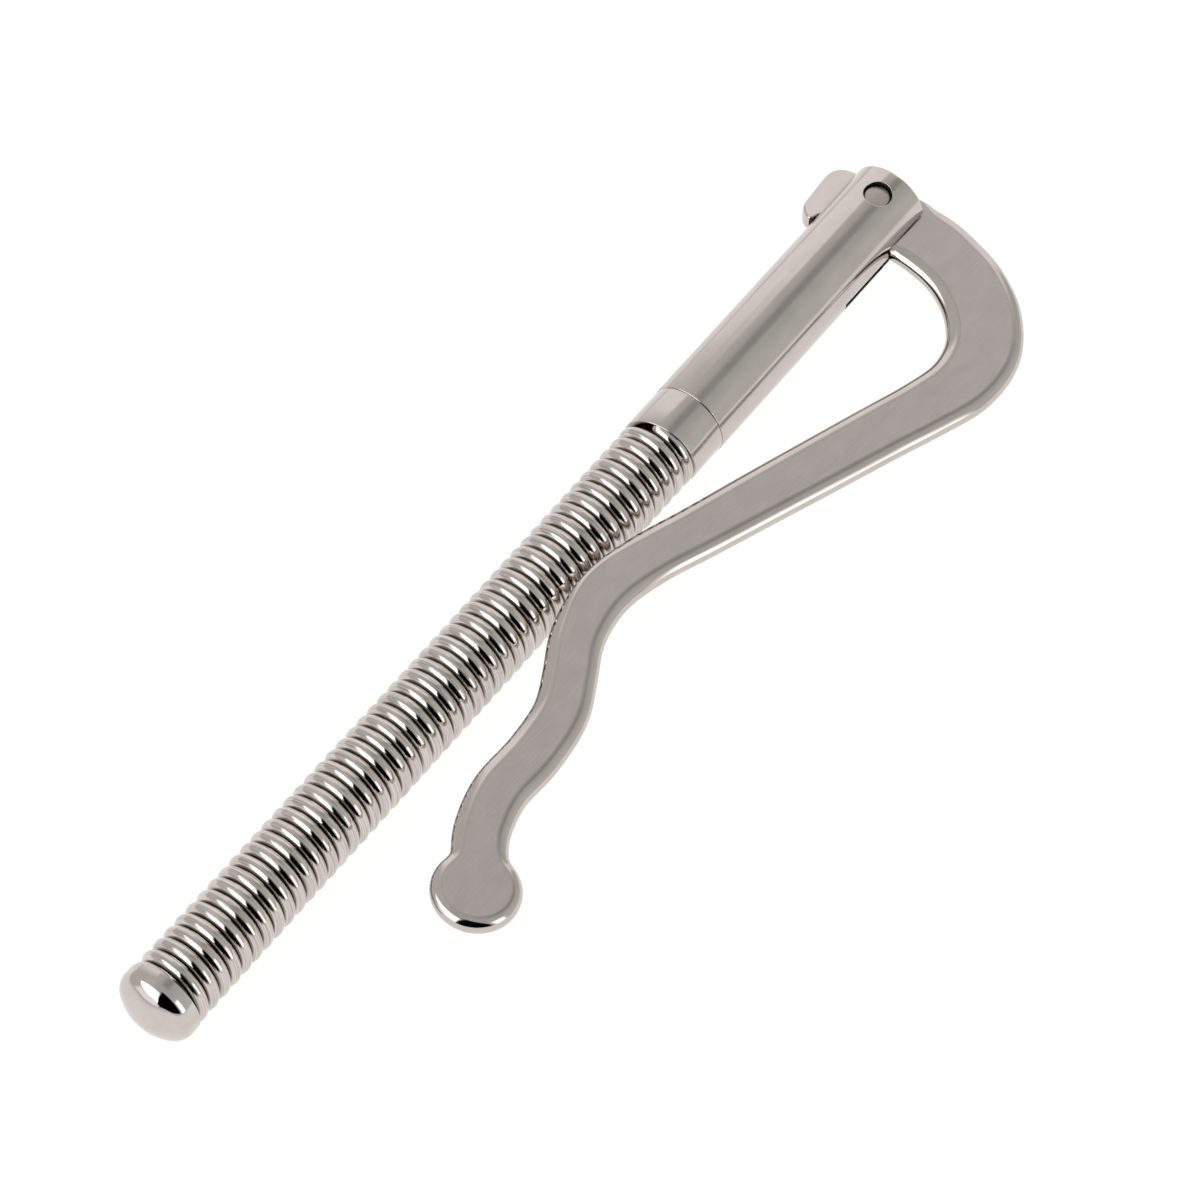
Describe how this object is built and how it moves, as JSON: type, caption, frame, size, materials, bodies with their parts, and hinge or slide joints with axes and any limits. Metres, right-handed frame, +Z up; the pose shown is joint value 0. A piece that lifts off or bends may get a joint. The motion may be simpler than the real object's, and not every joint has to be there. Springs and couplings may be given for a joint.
{
  "type": "tie clip",
  "caption": "Wire-wound round bar with a domed cap, a slotted housing and a sprung hooked lever that grips a tie against the bar.",
  "frame": {"origin": "centre of the bounding box's bottom face, with the clip lying at rest on a table on its bar and on the lever's hook", "axes": "+X along the bar from the cap to the hinge end, +Z up, the lever on the -Y side and the thumb tab on the +Y side"},
  "size_m": [0.0582, 0.0138, 0.004],
  "materials": {
    "polished_plate": "mirror polished plate",
    "polished_wire": "bright drawn and plated wire",
    "satin_plate": "satin plate",
    "lever_plate": "fine brushed faces with polished rounded edges",
    "pin_steel": "satin pin ends",
    "plain_steel": "plain turned steel",
    "spring_steel": "spring wire"
  },
  "bodies": {
    "bar": {"end_cap": "polished_plate", "core_rod": "plain_steel", "wire_wrap": "polished_wire", "collar": "satin_plate", "housing": "satin_plate", "pivot_pin": "pin_steel", "return_spring": "spring_steel"},
    "lever": {"lever": "lever_plate"},
    "plunger": {"plunger": "plain_steel"}
  },
  "joints": [
    {"name": "lever_hinge", "type": "hinge", "parent": "bar", "child": "lever", "pos_m": [0.02677, 0.00373, 0.002], "axis": [0, -0.1583, 0.9874], "range_deg": [0, 18], "stiffness_Nm_per_rad": 0.02, "springref_deg": -68.75},
    {"name": "plunger_slide", "type": "slide", "parent": "bar", "child": "plunger", "axis": [-1, 0, 0], "range_m": [0, 0.00027], "deforming": ["return_spring"]}
  ],
  "couplings": [
    {"joint": "plunger_slide", "follows": "lever_hinge", "m_per_rad": 0.0008}
  ]
}
